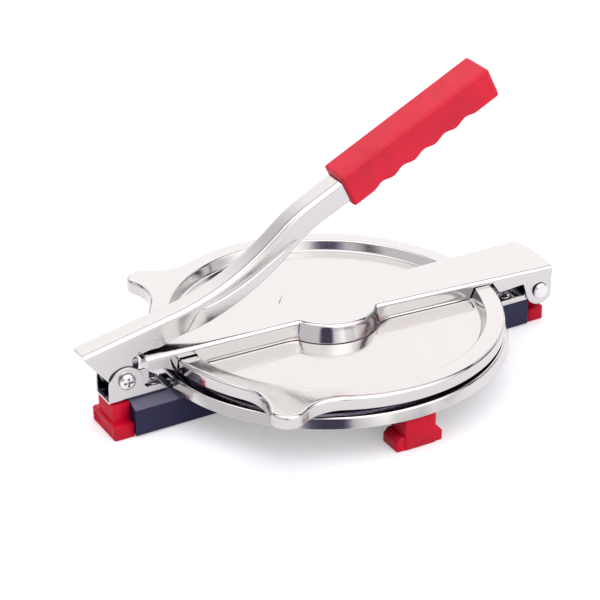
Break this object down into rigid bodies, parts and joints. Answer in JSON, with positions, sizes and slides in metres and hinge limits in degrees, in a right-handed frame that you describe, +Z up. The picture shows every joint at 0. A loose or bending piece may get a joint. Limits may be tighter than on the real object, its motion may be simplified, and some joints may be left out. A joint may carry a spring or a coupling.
{
  "type": "puri press",
  "caption": "Hand press for flat dough rounds: hinged dished upper plate on a channel arm, fixed lower plate, cross base on rubber feet, bent lever with a ribbed grip.",
  "frame": {"origin": "On the ground under the middle of the standing press: halfway along its length, on its middle plane, level with the feet's undersides. The plates' centre is 4.3 mm along +X from it.", "axes": "+X runs along the arm from the lever's pivot to the plate's hinge, +Y to the back of the press, +Z up."},
  "size_m": [0.275, 0.193, 0.1539],
  "materials": {
    "polished_steel": "polished",
    "screw_steel": "satin",
    "navy_plastic": "satin",
    "red_plastic": "satin",
    "red_rubber": "satin"
  },
  "bodies": {
    "base": {"base_frame": "navy_plastic", "foot_right": "red_rubber", "foot_back": "red_rubber", "foot_left": "red_rubber", "foot_front": "red_rubber", "bottom_plate": "polished_steel", "plate_boss_right": "polished_steel", "plate_boss_back": "polished_steel", "plate_boss_left": "polished_steel", "plate_boss_front": "polished_steel", "plate_screw_right": "screw_steel", "plate_screw_back": "screw_steel", "plate_screw_left": "screw_steel", "plate_screw_front": "screw_steel", "hinge_bracket": "polished_steel", "lever_bracket": "polished_steel", "hinge_bracket_screw_front": "screw_steel", "hinge_bracket_screw_back": "screw_steel", "lever_bracket_screw_1": "screw_steel", "lever_bracket_screw_2": "screw_steel", "hinge_pin": "screw_steel", "hinge_sleeve": "screw_steel", "pivot_screw": "screw_steel", "pivot_nut": "screw_steel", "pivot_sleeve": "screw_steel"},
    "upper_plate": {"top_plate": "polished_steel", "top_arm": "polished_steel"},
    "hand_lever": {"lever": "polished_steel", "grip": "red_plastic"}
  },
  "joints": [
    {"name": "lever_swing", "type": "hinge", "parent": "base", "child": "hand_lever", "pos_m": [-0.11567, 0, 0.0299], "axis": [0, -1, 0], "range_deg": [-13, 70]},
    {"name": "upper_plate_hinge", "type": "hinge", "parent": "base", "child": "upper_plate", "pos_m": [0.12834, 0, 0.0216], "axis": [0, 1, 0], "range_deg": [-1, 100]}
  ],
  "couplings": [
    {"joint": "upper_plate_hinge", "follows": "lever_swing", "ratio": 0.076923}
  ]
}
